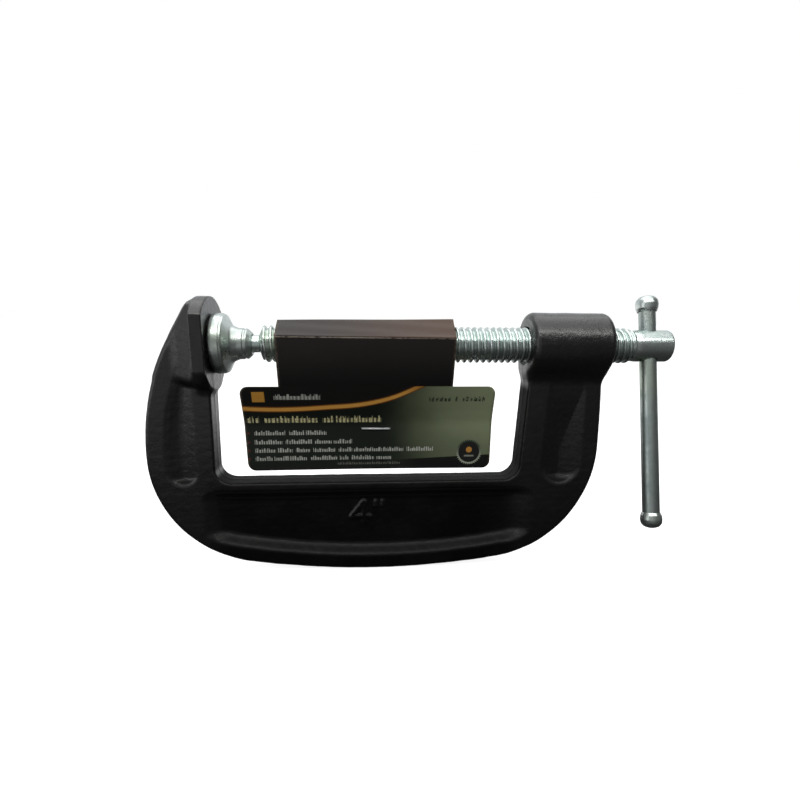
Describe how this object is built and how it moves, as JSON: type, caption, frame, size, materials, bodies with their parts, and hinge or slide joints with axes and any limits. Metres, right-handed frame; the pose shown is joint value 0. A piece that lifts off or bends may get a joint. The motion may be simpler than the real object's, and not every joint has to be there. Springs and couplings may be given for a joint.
{
  "type": "c-clamp",
  "caption": "Cast C-clamp with an I-section frame, acme-style screw, swivelling pad and sliding cross handle, carrying a folded hang card on the screw.",
  "frame": {"origin": "centre of the anvil's clamping face, on the screw axis", "axes": "+X along the screw from the anvil towards the handle, +Z from the spine towards the screw, +Y through the frame from front to back"},
  "size_m": [0.2084, 0.0365, 0.1134],
  "materials": {
    "enamelled_iron": "gloss",
    "zinc_plate": "bright",
    "printed_card": "gloss",
    "staple_wire": "bright"
  },
  "bodies": {
    "frame": {"frame": "enamelled_iron"},
    "pad": {"swivel_pad": "zinc_plate"},
    "screw": {"screw": "zinc_plate"},
    "handle": {"handle_bar": "zinc_plate", "handle_cap_upper": "zinc_plate", "handle_cap_lower": "zinc_plate"},
    "card": {"hang_card": "printed_card", "card_staple": "staple_wire"}
  },
  "joints": [
    {"name": "screw_travel", "type": "slide", "parent": "frame", "child": "pad", "axis": [1, 0, 0], "range_m": [0, 0.1016], "deforming": ["hang_card", "card_staple"]},
    {"name": "screw_turn", "type": "hinge", "parent": "pad", "child": "screw", "pos_m": [0.009, 0, 0], "axis": [1, 0, 0], "range_deg": [0, 14400]},
    {"name": "handle_slide", "type": "slide", "parent": "screw", "child": "handle", "axis": [0, 0.2538, 0.9673], "range_m": [-0.0075, 0.0609]},
    {"name": "card_swing", "type": "hinge", "parent": "frame", "child": "card", "pos_m": [0.0589, 0, 0], "axis": [1, 0, 0], "range_deg": [-20, 20]}
  ],
  "couplings": [
    {"joint": "screw_travel", "follows": "screw_turn", "m_per_rad": 0.00040425}
  ]
}
